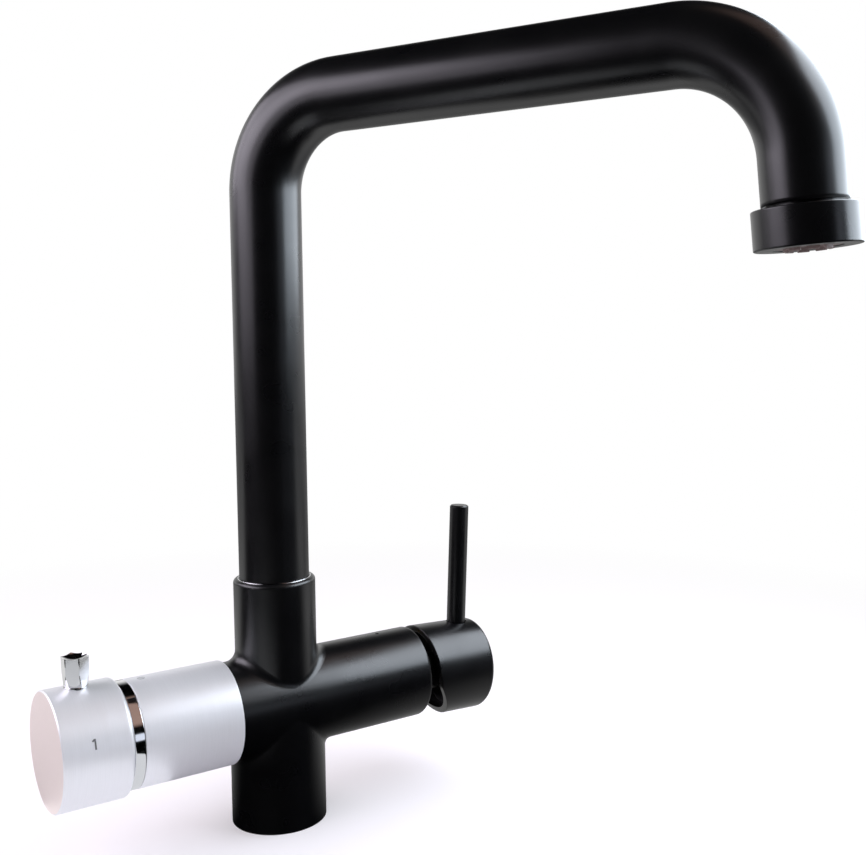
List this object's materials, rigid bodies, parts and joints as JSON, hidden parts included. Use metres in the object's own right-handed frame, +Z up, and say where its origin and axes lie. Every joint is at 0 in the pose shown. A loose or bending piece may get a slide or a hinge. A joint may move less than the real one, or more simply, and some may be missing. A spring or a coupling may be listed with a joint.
{
  "type": "kitchen tap",
  "caption": "Kitchen tap for hot, cold and filtered water: swivelling square spout, side mixer lever, and a rotary selector knob on the opposite arm, on a threaded shank.",
  "frame": {"origin": "centre of the base's underside, on the worktop's top face and on the shank's axis", "axes": "+Z up along the riser, +X along the mixer arm towards the lever, -X towards the selector, -Y to the user"},
  "size_m": [0.2236, 0.2454, 0.3832],
  "materials": {
    "black_paint": "satin black",
    "rubber": "matt",
    "brass": "machined",
    "steel": "machined",
    "clear_tube": "natural tube",
    "white_plastic": "moulded",
    "grey_plastic": "moulded",
    "ceramic": "lapped",
    "polished_metal": "polished",
    "satin_aluminium": "satin"
  },
  "bodies": {
    "root": {"body_casting": "black_paint", "base_seal": "rubber", "threaded_shank": "brass", "worktop_rubber_washer": "rubber", "worktop_steel_washer": "steel", "clamp_nut": "brass", "spout_bearing_washer": "white_plastic", "swivel_ring": "polished_metal", "spout_stop_screw": "steel", "mixer_gasket": "rubber", "mixer_cartridge_shell": "grey_plastic", "mixer_fixed_disc": "ceramic", "mixer_nut": "brass", "mixer_dome": "black_paint", "selector_gasket": "rubber", "selector_cartridge_shell": "grey_plastic", "selector_fixed_disc": "ceramic", "selector_nut": "brass", "selector_sleeve": "satin_aluminium", "bezel_ring": "polished_metal"},
    "spout": {"spout_tube": "black_paint", "filtered_water_tube": "clear_tube", "spout_ferrule": "brass", "spout_o_rings": "rubber", "nozzle_insert": "brass", "nozzle_collar": "black_paint", "aerator_gasket": "rubber", "aerator_housing": "polished_metal", "aerator_screens": "steel", "flow_straightener": "white_plastic"},
    "mixer_turn": {"mixer_turret": "white_plastic", "mixer_pivot_pin": "steel"},
    "lever": {"mixer_stem": "steel", "lever_knob": "black_paint", "lever_rod": "black_paint", "lever_grub_screw": "steel"},
    "moving_disc": {"mixer_moving_disc": "ceramic"},
    "selector": {"selector_moving_disc": "ceramic", "selector_spindle": "brass", "selector_knob": "satin_aluminium", "selector_pin": "polished_metal", "selector_grub_screw": "steel"}
  },
  "joints": [
    {"name": "spout_swivel", "type": "hinge", "parent": "root", "child": "spout", "pos_m": [0, 0, 0.09], "axis": [0, 0, 1], "range_deg": [-188, 132]},
    {"name": "temperature_turn", "type": "hinge", "parent": "root", "child": "mixer_turn", "pos_m": [0.052, 0, 0.052], "axis": [1, 0, 0], "range_deg": [-45, 45]},
    {"name": "lever_tip", "type": "hinge", "parent": "mixer_turn", "child": "lever", "pos_m": [0.052, 0, 0.052], "axis": [0, 1, 0], "range_deg": [0, 20]},
    {"name": "disc_slide", "type": "slide", "parent": "mixer_turn", "child": "moving_disc", "axis": [0, 0, 1], "range_m": [0, 0.0036]},
    {"name": "selector_turn", "type": "hinge", "parent": "root", "child": "selector", "pos_m": [-0.0859, 0, 0.052], "axis": [1, 0, 0], "range_deg": [-72, 180]}
  ],
  "couplings": [
    {"joint": "disc_slide", "follows": "lever_tip", "m_per_rad": 0.010094}
  ]
}
